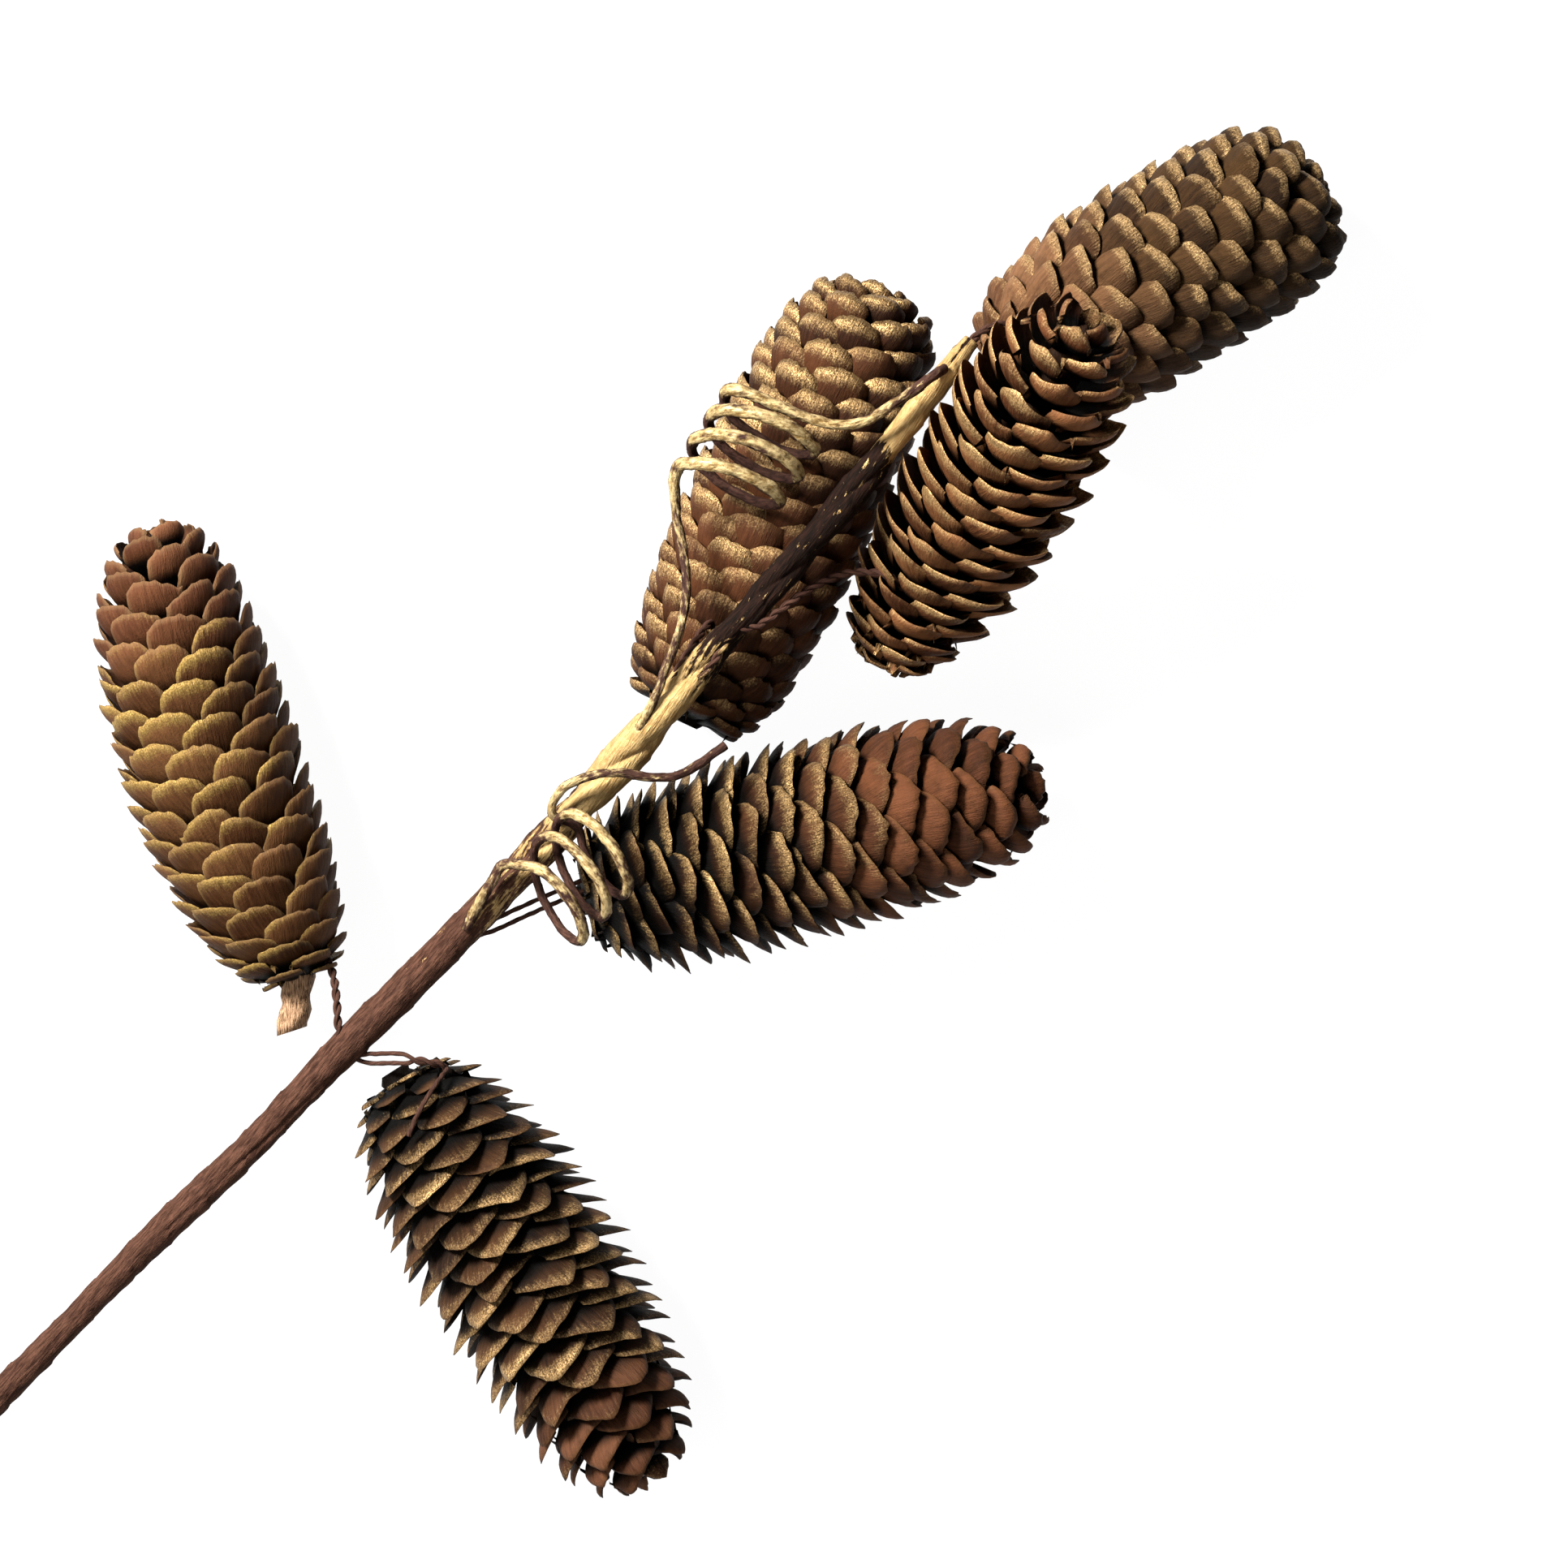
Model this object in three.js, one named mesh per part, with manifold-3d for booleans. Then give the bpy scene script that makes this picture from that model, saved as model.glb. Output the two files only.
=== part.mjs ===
// A pick of six spruce cones wired to a paper wrapped stem, with two curled tendrils, lying on a table.
// Millimetres, +Z up, the table at z = 0. Places are given in the plan, seen from above with the stem
// running up to the right, and the whole plan is then turned so that the stem runs along +X.

import * as THREE from "three";
import { mergeVertices } from "three/addons/utils/BufferGeometryUtils.js";
import Module from "manifold-3d";

const wasm = await Module();
wasm.setup();

// Driving dimensions
const STEM_ANGLE = 47.2; // degrees, the stem's direction in the plan
const PLAN_ORIGIN = [-63.18, -17.16]; // the point of the plan that becomes the part's origin
const GAP = 0.35; // clearance between pieces that touch
const SHORTEST_EDGE = 0.02; // mm, what the cuts leave below this is merged away
const GOLDEN_ANGLE = 137.508; // degrees from one scale to the next round a cone

// Scales, larger than life on these solids
const SCALE_SPACING = 1.55; // mm of a cone's outline for each scale, where the cone is fullest
const CROWDING = 0.6; // how much closer the scales stand where the cone is thinner
const FIRST_SCALE = 0.4; // how much of one spacing is already gone where a cone begins
const OUTLINE_STEPS = 400; // steps along a cone's outline in which its scales are counted
const SCALE_WIDTH = 19; // mm at the widest place of a full scale
const SCALE_THICKNESS = 1.7; // mm at the thickest place of a scale
const OPEN_WIDEST = 0.68; // how far out an open scale is widest, from 0 at the core to 1 at the tip
const CLOSED_WIDEST = 0.86; // the same on a closed scale, as a share of the cone's radius there
const TIP_TO_WIDTH = 0.56; // width of a scale's tip edge for each mm of its full width
const CLOSED_RISE = 0.95; // mm up the cone for each mm of radius, on a closed scale
const OPEN_RISE = 0.5; // the same on a wide open scale
const LEAST_RISE = 9; // mm, on the small scales that close the tip
const CORE_TO_RADIUS = 0.28; // core radius for each mm of cone radius
const CORE_SIDES = 6;
const JITTER = 0.05; // random share in a scale's length and width

// The stem's centre line, x, y, z and the wrapped radius
const STEM_ROUTE = [
  [-250.4, -204.9, 3.3, 3.4],
  [-201.5, -156.8, 13.3, 3.6],
  [-160.4, -115.3, 22.0, 3.9],
  [-137.5, -93.7, 27.0, 4.0],
  [-120.8, -76.3, 30.5, 4.2],
  [-112.8, -68.1, 32.0, 4.5],
  [-94.1, -49.8, 36.0, 4.5],
  [-74.3, -29.7, 40.0, 4.5],
  [-53.7, -7.9, 44.5, 4.4],
  [-37.6, 9.9, 47.8, 4.7],
  [-17.5, 33.8, 52.2, 4.0],
  [-5.3, 47.0, 54.0, 3.6],
  [19.1, 75.5, 54.8, 3.6],
  [37.5, 99.2, 53.0, 3.6],
  [47.2, 111.6, 51.5, 2.0],
];
const STEM_SIDES = 8;
const STEM_STEPS = 24;

// Each cone: its base and tip on the centre line, the sideways bow, the fullest radius, the openness of
// its scales at the base and at the tip, where it is fullest, how blunt its two ends are, and its stalk
const CONES = {
  cone_a: {
    base: [-124.4, -49.7, 22.8], tip: [-162.6, 67.5, 22.3], bow: 4.5, radius: 24.6, open: [0.25, 0.2],
    fullest: 0.42, bluntBase: 0.38, bluntTip: 2.7, stalk: 12.5, stalkRadius: 4.8, stalkLean: 0.65,
    turn: 20, hand: 1, seed: 11,
    colour: 0x7d6336,
  },
  cone_b: {
    base: [-98.3, -75.9, 26], tip: [-32.9, -180.0, 24.2], bow: 1.3, radius: 28.2, open: [1.0, 0.8],
    fullest: 0.36, bluntBase: 0.38, bluntTip: 2.8, stalk: 3, stalkRadius: 5, stalkLean: 0,
    turn: 75, hand: -1, seed: 12,
    colour: 0x5a3f26,
  },
  cone_c: {
    base: [-50.8, -29.3, 25], tip: [67.6, 0.9, 24], bow: 0.6, radius: 27.7, open: [1.0, 0.4],
    fullest: 0.31, bluntBase: 0.45, bluntTip: 2.9, stalk: 2, stalkRadius: 5, stalkLean: 0,
    turn: 140, hand: 1, seed: 13,
    colour: 0x7a4d34,
  },
  cone_d: {
    base: [-25.0, 17.4, 24], tip: [26.2, 128.0, 24.3], bow: 0.4, radius: 25.4, open: [0.35, 0.0],
    fullest: 0.4, bluntBase: 0.6, bluntTip: 3.6, stalk: 2, stalkRadius: 5, stalkLean: 0,
    turn: 200, hand: -1, seed: 14,
    colour: 0x80623a,
  },
  cone_e: {
    base: [25.9, 33.3, 22], tip: [76.8, 116.7, 80.8], bow: -0.8, radius: 24.2, open: [0.9, 0.6],
    fullest: 0.45, bluntBase: 0.35, bluntTip: 3.0, stalk: 2, stalkRadius: 5, stalkLean: 0,
    turn: 260, hand: 1, seed: 15,
    colour: 0x73502f,
  },
  cone_f: {
    base: [55.3, 105.0, 26.3], tip: [138.8, 154.7, 25.4], bow: 1.0, radius: 27.3, open: [0.4, 0.1],
    fullest: 0.42, bluntBase: 0.45, bluntTip: 3.8, stalk: 2, stalkRadius: 5, stalkLean: 0,
    turn: 320, hand: -1, seed: 16,
    colour: 0x7a5c36,
  },
};

// The wires that hold the cones: two strands twisted together, from inside the stem's wrap to a cone's core
const WIRE_RADIUS = 1.15;
const WIRE_SIDES = 5;
const WIRES = {
  wire_a: [[-112.4, -67.5, 33], [-113.5, -62, 34.5], [-114.0, -55.5, 33], [-115.4, -48.5, 28],
    [-118.8, -43, 23], [-124, -41, 20.5]],
  wire_b: [[-111, -69.5, 31.5], [-105.5, -70.0, 33], [-98.5, -69.8, 36], [-91.5, -70.6, 37],
    [-86.5, -72.2, 34], [-87, -78.5, 28]],
  wire_c: [[-82, -38, 38.5], [-75.5, -36.5, 37.5], [-66, -32.3, 36], [-55, -27.5, 34.5],
    [-46, -24, 33], [-41.5, -25, 28]],
  wire_d: [[-28.5, 22.5, 50.5], [-27.2, 27.5, 52], [-24.8, 32, 51.5], [-21.8, 36.8, 49.5],
    [-19, 40.4, 45], [-17, 42, 38]],
  wire_e: [[-12, 38.5, 55.5], [-6.5, 39.8, 55.5], [1.5, 45.5, 54], [9, 50.5, 50], [17, 53.3, 47.5],
    [26, 52.5, 46.5], [31, 49, 45]],
  wire_f: [[45.8, 110.0, 52], [49.5, 113.6, 51], [54, 115.8, 48.5], [58.5, 115.8, 43], [60.5, 114, 36]],
};
const WIRE_STEPS_PER_MM = 0.25;

// The tendrils: a riser from the stem, a coil, and a tail
const TENDRIL_SIDES = 5;
const TENDRILS = {
  tendril_upper: {
    radius: 1.45,
    riser: [[-35.9, 14.9, 53], [-32.8, 21.0, 54.5], [-29.8, 28.5, 56], [-26.1, 39, 56.5],
      [-24.5, 48, 56], [-25.2, 58, 55.5], [-27.0, 68, 55.5]],
    coil: { from: [-15.8, 72.6, 57], to: [-2.4, 92.0, 58.5], across: 13.4, deep: 8.2, sway: 4.2,
      turns: 3, tilt: -25, start: 160 },
    tail: [[11.0, 90.0, 63], [20, 90.5, 63.5], [29.2, 96.2, 62], [36.5, 101.5, 60.5]],
  },
  tendril_lower: {
    radius: 1.3,
    riser: [[-80.7, -36.6, 43], [-75.2, -27.1, 47.5], [-70.9, -20.6, 50]],
    coil: { from: [-61.2, -31.9, 52], to: [-44.8, -14.7, 57], across: 13, deep: 8.6, sway: 5.4,
      turns: 2.8, tilt: -60, start: 165 },
    tail: [[-58.4, -7.6, 51.2], [-57.8, -4, 53], [-54.7, -0.6, 54.8], [-49.2, 1.9, 56],
      [-41.5, 2.8, 56.3], [-34, 1.8, 55], [-27.3, 1.9, 53], [-21.6, 5, 51.3], [-14.7, 9.8, 50]],
  },
};
const COIL_POINTS_PER_TURN = 12;
const COIL_DRIFT = 0.85; // below 1 where a coil's first turns stand wider apart than its last ones
const TENDRIL_STEPS_PER_MM = 0.2;

const PAPER_COLOUR = 0x6e5348;
const WIRE_COLOUR = 0x3f2c24;
const TENDRIL_COLOUR = 0x9c7a45;
const UP = new THREE.Vector3(0, 0, 1);

// The same random numbers on every run
function seeded(seed) {
  let state = seed * 7919;
  return () => {
    state = (state * 1664525 + 1013904223) % 4294967296;
    return state / 4294967296;
  };
}

function mix(a, b, share) {
  return a + (b - a) * share;
}

// A closed geometry as a solid
function solidOf(geometry) {
  const bare = geometry.clone();
  bare.deleteAttribute("normal");
  bare.deleteAttribute("uv");
  const merged = mergeVertices(bare, 1e-4);
  return new wasm.Manifold(
    new wasm.Mesh({
      numProp: 3,
      vertProperties: new Float32Array(merged.attributes.position.array),
      triVerts: new Uint32Array(merged.index.array),
    }),
  );
}

// A solid's largest body as a geometry, so that a scrap cut loose is dropped, without its shortest edges
function geometryOf(solid) {
  const bodies = solid.simplify(SHORTEST_EDGE).decompose().sort((a, b) => b.volume() - a.volume());
  const mesh = bodies[0].getMesh();
  const geometry = new THREE.BufferGeometry();
  geometry.setAttribute("position", new THREE.BufferAttribute(new Float32Array(mesh.vertProperties), 3));
  geometry.setIndex(new THREE.BufferAttribute(new Uint32Array(mesh.triVerts), 1));
  return geometry;
}

function meshOf(name, solid, material) {
  const flat = geometryOf(solid).toNonIndexed();
  flat.computeVertexNormals();
  const mesh = new THREE.Mesh(flat, material);
  mesh.name = name;
  return mesh;
}

// A round bar of changing radius along the stem's centre line
function stemSolid(extra) {
  const route = new THREE.CatmullRomCurve3(STEM_ROUTE.map(([x, y, z]) => new THREE.Vector3(x, y, z)));
  const radii = new THREE.CatmullRomCurve3(STEM_ROUTE.map(([x, y, z, r]) => new THREE.Vector3(r, 0, 0)));
  const profile = [new THREE.Vector2(0, 0)];
  for (let i = 0; i <= STEM_STEPS; i++) profile.push(new THREE.Vector2(1, i / STEM_STEPS));
  profile.push(new THREE.Vector2(0, 1));
  const bar = new THREE.LatheGeometry(profile, STEM_SIDES);
  const place = bar.attributes.position;
  for (let i = 0; i < place.count; i++) {
    const share = place.getY(i);
    const centre = route.getPoint(share);
    const along = route.getTangent(share);
    const side = new THREE.Vector3().crossVectors(UP, along).normalize();
    const over = new THREE.Vector3().crossVectors(along, side);
    const radius = radii.getPoint(share).x + extra;
    centre.addScaledVector(side, place.getX(i) * radius).addScaledVector(over, place.getZ(i) * radius);
    if (extra > 0 && share === 1) centre.addScaledVector(along, extra);
    place.setXYZ(i, centre.x, centre.y, centre.z);
  }
  const solid = solidOf(bar);
  return solid.volume() < 0 ? turnedOut(bar) : solid;
}

// The same solid with its faces the other way round
function turnedOut(geometry) {
  const flipped = geometry.clone();
  const index = flipped.index.array;
  for (let i = 0; i < index.length; i += 3) [index[i + 1], index[i + 2]] = [index[i + 2], index[i + 1]];
  return solidOf(flipped);
}

// A round tube along points, thicker and longer at its far end by the extra
function tubeSolid(points, radius, extra, sides, stepsPerMm) {
  const places = points.map((p) => new THREE.Vector3(...p));
  const last = places.at(-1);
  last.addScaledVector(last.clone().sub(places.at(-2)).normalize(), extra);
  const route = new THREE.CatmullRomCurve3(places);
  const section = new THREE.Shape();
  for (let i = 0; i < sides; i++) {
    const angle = (i / sides) * Math.PI * 2;
    const x = Math.cos(angle) * (radius + extra);
    const y = Math.sin(angle) * (radius + extra);
    if (i) section.lineTo(x, y);
    else section.moveTo(x, y);
  }
  section.closePath();
  const steps = Math.ceil(route.getLength() * stepsPerMm);
  const tube = new THREE.ExtrudeGeometry(section, { extrudePath: route, steps, bevelEnabled: false });
  return solidOf(tube);
}

// Riser, coil and tail of a tendril as one list of points
function tendrilPoints({ riser, coil, tail }) {
  const points = [...riser];
  const tilt = THREE.MathUtils.degToRad(coil.tilt);
  const count = Math.round(coil.turns * COIL_POINTS_PER_TURN);
  for (let i = 0; i <= count; i++) {
    const share = i / count;
    const angle = THREE.MathUtils.degToRad(coil.start) - share * coil.turns * Math.PI * 2;
    const along = Math.cos(angle) * coil.across;
    const lift = Math.sin(angle) * coil.deep;
    const drift = Math.pow(share, COIL_DRIFT);
    const sway = Math.sin(angle) * coil.sway;
    points.push([
      mix(coil.from[0], coil.to[0], drift) + along * Math.cos(tilt) - sway * Math.sin(tilt),
      mix(coil.from[1], coil.to[1], drift) + along * Math.sin(tilt) + sway * Math.cos(tilt),
      mix(coil.from[2], coil.to[2], share) + lift,
    ]);
  }
  points.push(...tail);
  return points;
}

// A cone's own frame: from a distance along its axis, a radius and an angle to a point of the plan
function coneFrame({ base, tip, bow, stalkLean }) {
  const start = new THREE.Vector3(...base);
  const axis = new THREE.Vector3(...tip).sub(start);
  const length = axis.length();
  axis.normalize();
  const side = new THREE.Vector3().crossVectors(UP, axis).normalize();
  const over = new THREE.Vector3().crossVectors(axis, side);
  const at = (along, radius, angle) => {
    const share = along / length;
    const bend = bow * 4 * share * (1 - share) - stalkLean * Math.min(along, 0);
    return start.clone()
      .addScaledVector(axis, along)
      .addScaledVector(side, bend + radius * Math.cos(angle))
      .addScaledVector(over, radius * Math.sin(angle));
  };
  return { at, length };
}

// A cone's radius at a share of its length, full at one place and rounded at both ends
function coneRadius({ radius, fullest, bluntBase, bluntTip }, share) {
  if (share < fullest) {
    const down = 1 - Math.max(share, 0) / fullest;
    return radius * mix(bluntBase, 1, Math.pow(1 - Math.pow(down, 1.9), 1 / 1.9));
  }
  const up = Math.min((share - fullest) / (1 - fullest), 1);
  return radius * Math.pow(1 - Math.pow(up, bluntTip), 1 / bluntTip);
}

// Where along a cone its scales end: evenly over its surface, and closer where it is thin
function scalePlaces(cone, length) {
  const places = [];
  let total = FIRST_SCALE;
  for (let i = 0; i < OUTLINE_STEPS; i++) {
    const near = coneRadius(cone, i / OUTLINE_STEPS);
    const far = coneRadius(cone, (i + 1) / OUTLINE_STEPS);
    const fat = (near + far) / 2 / cone.radius;
    const step = Math.hypot(length / OUTLINE_STEPS, far - near) * Math.pow(fat, CROWDING) / SCALE_SPACING;
    if (Math.floor(total + step) > Math.floor(total)) places.push((i + 0.5) / OUTLINE_STEPS);
    total += step;
  }
  return places;
}

// One scale: a thin blade from a point deep in the core, widest two thirds of the way out
function scaleSolid(at, along, reach, rise, angle, width, open, radiusAt) {
  const midAlong = along + rise * mix(0.42, 0.6, open);
  const midRadius = mix(radiusAt(midAlong) * CLOSED_WIDEST, reach * OPEN_WIDEST, open);
  const slope = Math.atan2(rise, reach);
  const half = SCALE_THICKNESS / 2;
  const spread = Math.min(width / 2 / midRadius, 1.1);
  const tipSpread = Math.min((width / 2) * TIP_TO_WIDTH / Math.max(reach, 1), 0.9);
  const tipAlong = along + rise;
  const corners = [
    at(along, 0, 0),
    at(midAlong, midRadius, angle - spread),
    at(midAlong, midRadius, angle + spread),
    at(midAlong + half * Math.cos(slope), midRadius - half * Math.sin(slope), angle),
    at(midAlong - half * Math.cos(slope), midRadius + half * Math.sin(slope), angle),
    at(tipAlong, reach, angle - tipSpread),
    at(tipAlong, reach, angle + tipSpread),
  ];
  const faces = [0, 3, 1, 0, 2, 3, 1, 3, 5, 3, 6, 5, 3, 2, 6, 0, 1, 4, 0, 4, 2, 1, 5, 4, 4, 5, 6, 4, 6, 2];
  const blade = new THREE.BufferGeometry().setFromPoints(corners);
  blade.setIndex(faces);
  const solid = solidOf(blade);
  return solid.volume() < 0 ? turnedOut(blade) : solid;
}

// The woody axis that carries the scales, with the stub of its stalk
function coreSolid(cone, at, length) {
  const profile = [
    new THREE.Vector2(0, -cone.stalk),
    new THREE.Vector2(cone.stalkRadius * 0.8, -cone.stalk),
    new THREE.Vector2(cone.stalkRadius, 0.03 * length),
    new THREE.Vector2(cone.radius * CORE_TO_RADIUS, 0.3 * length),
    new THREE.Vector2(cone.radius * CORE_TO_RADIUS, 0.75 * length),
    new THREE.Vector2(cone.radius * CORE_TO_RADIUS * 0.7, 0.92 * length),
    new THREE.Vector2(0, 0.96 * length),
  ];
  const core = new THREE.LatheGeometry(profile, CORE_SIDES);
  const place = core.attributes.position;
  for (let i = 0; i < place.count; i++) {
    const radius = Math.hypot(place.getX(i), place.getZ(i));
    const point = at(place.getY(i), radius, Math.atan2(place.getZ(i), place.getX(i)));
    place.setXYZ(i, point.x, point.y, point.z);
  }
  const solid = solidOf(core);
  return solid.volume() < 0 ? turnedOut(core) : solid;
}

// A whole cone: the core with its scales in a golden angle spiral
function coneSolid(cone) {
  const { at, length } = coneFrame(cone);
  const random = seeded(cone.seed);
  const parts = [coreSolid(cone, at, length)];
  const radiusAt = (along) => coneRadius(cone, along / length);
  for (const [i, share] of scalePlaces(cone, length).entries()) {
    const radius = radiusAt(share * length);
    const open = mix(cone.open[0], cone.open[1], share);
    const full = radius * mix(CLOSED_RISE, OPEN_RISE, open);
    const rise = Math.min(Math.max(full, LEAST_RISE), share * length * 0.9);
    const along = share * length - rise;
    const reach = radius * (1 + (random() - 0.5) * JITTER);
    const width = SCALE_WIDTH * (1 + (random() - 0.5) * JITTER * 2) * Math.pow(radius / cone.radius, 0.5);
    const angle = THREE.MathUtils.degToRad(cone.turn + cone.hand * i * GOLDEN_ANGLE);
    parts.push(scaleSolid(at, along, reach, rise, angle, width, open, radiusAt));
  }
  return wasm.Manifold.union(parts);
}

const TABLE = solidOf(new THREE.BoxGeometry(800, 800, 60).translate(0, 0, -30));

const plan = new THREE.Group();

const stem = stemSolid(0).subtract(TABLE);
const stemRoom = stemSolid(GAP);
const paper = new THREE.MeshStandardMaterial({ color: PAPER_COLOUR, roughness: 0.85, metalness: 0 });
plan.add(meshOf("main_stem", stem, paper));

const wire = new THREE.MeshStandardMaterial({ color: WIRE_COLOUR, roughness: 0.8, metalness: 0 });
const wireRooms = [];
for (const [name, route] of Object.entries(WIRES)) {
  const solid = tubeSolid(route, WIRE_RADIUS, 0, WIRE_SIDES, WIRE_STEPS_PER_MM);
  wireRooms.push(tubeSolid(route, WIRE_RADIUS, GAP, WIRE_SIDES, WIRE_STEPS_PER_MM));
  plan.add(meshOf(name, solid.subtract(stemRoom), wire));
}

const gilded = new THREE.MeshStandardMaterial({ color: TENDRIL_COLOUR, roughness: 0.5, metalness: 0.4 });
for (const [name, shape] of Object.entries(TENDRILS)) {
  const points = tendrilPoints(shape);
  const solid = tubeSolid(points, shape.radius, 0, TENDRIL_SIDES, TENDRIL_STEPS_PER_MM);
  wireRooms.push(tubeSolid(points, shape.radius, GAP, TENDRIL_SIDES, TENDRIL_STEPS_PER_MM));
  plan.add(meshOf(name, solid.subtract(stemRoom), gilded));
}

const room = wasm.Manifold.union([stemRoom, ...wireRooms]);
for (const [name, cone] of Object.entries(CONES)) {
  const material = new THREE.MeshStandardMaterial({ color: cone.colour, roughness: 0.6, metalness: 0.2 });
  const solid = coneSolid(cone).subtract(TABLE).subtract(room);
  plan.add(meshOf(name, solid, material));
}

// The plan is turned so that the stem runs along +X, with the origin under the middle of the whole
const group = new THREE.Group();
plan.position.set(-PLAN_ORIGIN[0], -PLAN_ORIGIN[1], 0);
group.add(plan);
group.rotation.z = -THREE.MathUtils.degToRad(STEM_ANGLE);

export default group;
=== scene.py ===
# A pick of six spruce cones wired to a paper wrapped stem, with two curled tendrils, lying on a table.
# Shapes are worked out in the plan in millimetres, as in the part's source, and placed in metres.

import math
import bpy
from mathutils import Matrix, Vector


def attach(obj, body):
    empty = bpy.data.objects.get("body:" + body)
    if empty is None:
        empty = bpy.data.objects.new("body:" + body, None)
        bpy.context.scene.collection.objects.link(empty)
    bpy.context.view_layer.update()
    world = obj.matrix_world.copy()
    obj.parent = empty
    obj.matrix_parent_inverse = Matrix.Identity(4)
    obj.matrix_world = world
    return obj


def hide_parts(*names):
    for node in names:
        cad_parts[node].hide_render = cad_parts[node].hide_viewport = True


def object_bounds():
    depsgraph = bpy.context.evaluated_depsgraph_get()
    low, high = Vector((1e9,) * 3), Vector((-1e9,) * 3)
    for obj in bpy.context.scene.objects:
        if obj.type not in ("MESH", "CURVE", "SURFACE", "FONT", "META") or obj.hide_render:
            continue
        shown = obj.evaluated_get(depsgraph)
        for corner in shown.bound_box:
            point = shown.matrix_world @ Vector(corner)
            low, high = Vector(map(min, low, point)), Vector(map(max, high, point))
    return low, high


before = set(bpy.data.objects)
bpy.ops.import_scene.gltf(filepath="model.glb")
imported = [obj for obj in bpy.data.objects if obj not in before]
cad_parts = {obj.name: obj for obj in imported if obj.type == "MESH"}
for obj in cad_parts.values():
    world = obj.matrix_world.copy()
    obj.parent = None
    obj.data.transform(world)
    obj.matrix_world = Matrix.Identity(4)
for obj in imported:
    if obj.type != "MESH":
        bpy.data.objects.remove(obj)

from types import SimpleNamespace

import bpy
import numpy as np
from mathutils import Vector

cad_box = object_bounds()

MM = 0.001
STEM_ANGLE = math.radians(47.2)  # the stem's direction in the plan
PLAN_ORIGIN = np.array([-63.18, -17.16, 0.0])  # the point of the plan at the part's origin
GOLDEN_ANGLE = math.radians(137.508)
UP = np.array([0.0, 0.0, 1.0])
CLEAR_OF_TABLE = 0.02  # mm, the least height of any point of a cone or the stem

# The photograph's view: straight down on the plan's own zero
VIEW_HEIGHT = 1500.0  # mm above the table
VIEW_WIDTH = 401.9  # mm seen across, at the cones' middle height
VIEW_MIDDLE = 25.0  # mm, the cones' middle height
SENSOR = 36.0
FAR_CLIP = 20

# The table and the light: places in the plan, sizes and the drop in metres, power in watts
TABLE_SIZE = 6.0
TABLE_DROP = 0.0003
TABLE_GREY = 0.05
TABLE_ROUGH = 0.9
TABLE_GLOW = 0.97
SKY_LIGHT = 0.06
LIGHTS = {
    "key": ((-850, 750, 1000), 0.5, 98),
    "fill": ((-600, -700, 1300), 1.0, 14),
}
LIGHTS_AIM = (0, 0, 20)

# Scales at their real size
CLOSED_RISE = 0.95  # mm up the cone for each mm of radius, on a closed scale
OPEN_RISE = 0.5
LEAST_RISE = 9.0  # mm
CLOSED_START = 60.0  # degrees from the cone's axis at which a scale leaves the core
OPEN_START = 80.0
ROWS = 12  # points along a scale
COLUMNS = 15  # points across a scale
NARROWEST = 0.12  # of the cone's radius, below which scales get no narrower
JAG = 0.5  # mm by which a scale's edge is torn in and out
MARGIN = (0.2, 1.6)  # mm from a scale's edge over which its pale margin ends
# How unevenly the scales grew and were painted, as standard deviations
UNEVEN = dict(open=0.05, reach=0.012, end=3.0, width=0.05, turn=0.03, lean=0.55, skew=0.22, paint=0.14)

# The woody core under the scales, and the light and the painted shade on both
CORE_TO_RADIUS = 0.28  # the core's radius in the cone's own
CORE_RINGS = 70
CORE_AROUND = 24
SHOWING_STALK = 5.0  # mm, above which a stalk shows its pale wood
LIGHT_SIDE = np.array([-0.5, 0.45, 0.74])  # from which the paint was brushed on and the light falls
PAINTED_SHADE_TO_LIGHT = 0.22  # of a scale's length, over which the painted shade in its hollow ends
INNER_PAINTED_LIGHT = 0.6  # the inner face's painted light, as a share of the outer face's

# The stem's centre line: x, y, z, wrapped radius
STEM_ROUTE = [
    (-250.4, -204.9, 3.3, 3.4),
    (-201.5, -156.8, 13.3, 3.6),
    (-160.4, -115.3, 22.0, 3.9),
    (-137.5, -93.7, 27.0, 4.0),
    (-120.8, -76.3, 30.5, 4.2),
    (-112.8, -68.1, 32.0, 4.5),
    (-94.1, -49.8, 36.0, 4.5),
    (-74.3, -29.7, 40.0, 4.5),
    (-53.7, -7.9, 44.5, 4.4),
    (-37.6, 9.9, 47.8, 4.7),
    (-17.5, 33.8, 52.2, 4.0),
    (-5.3, 47.0, 54.0, 3.6),
    (19.1, 75.5, 54.8, 3.6),
    (37.5, 99.2, 53.0, 3.6),
    (47.2, 111.6, 51.5, 2.0),
]

# The share of gold along the stem, by x in the plan
STEM_GOLD = [(-100, 0.0), (-80, 0.22), (-62, 0.38), (-52, 0.5), (-44, 0.9), (-36, 1.0), (-29, 0.9),
             (-24, 0.5), (-15, 0.2), (-5, 0.12), (15, 0.1), (23, 0.2), (28, 0.7), (40, 0.8), (46, 0.45)]
# Where two strands twist together under the wrap, in mm from the cut end
TWISTED_FROM = (250, 275)
TWISTED_TO = (425, 400)
TWIST_PITCH = 60.0
DARK_FROM = (-75, -30)  # x in the plan over which the paper turns darker
STEM_STEP = 0.7  # mm between the stem's rings
STEM_AROUND = 64
SEAM_PITCH = 15.0  # mm along the stem for one turn of the wrap's seam
SEAM_HEIGHT = 0.3
FOLDS = 7
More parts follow.
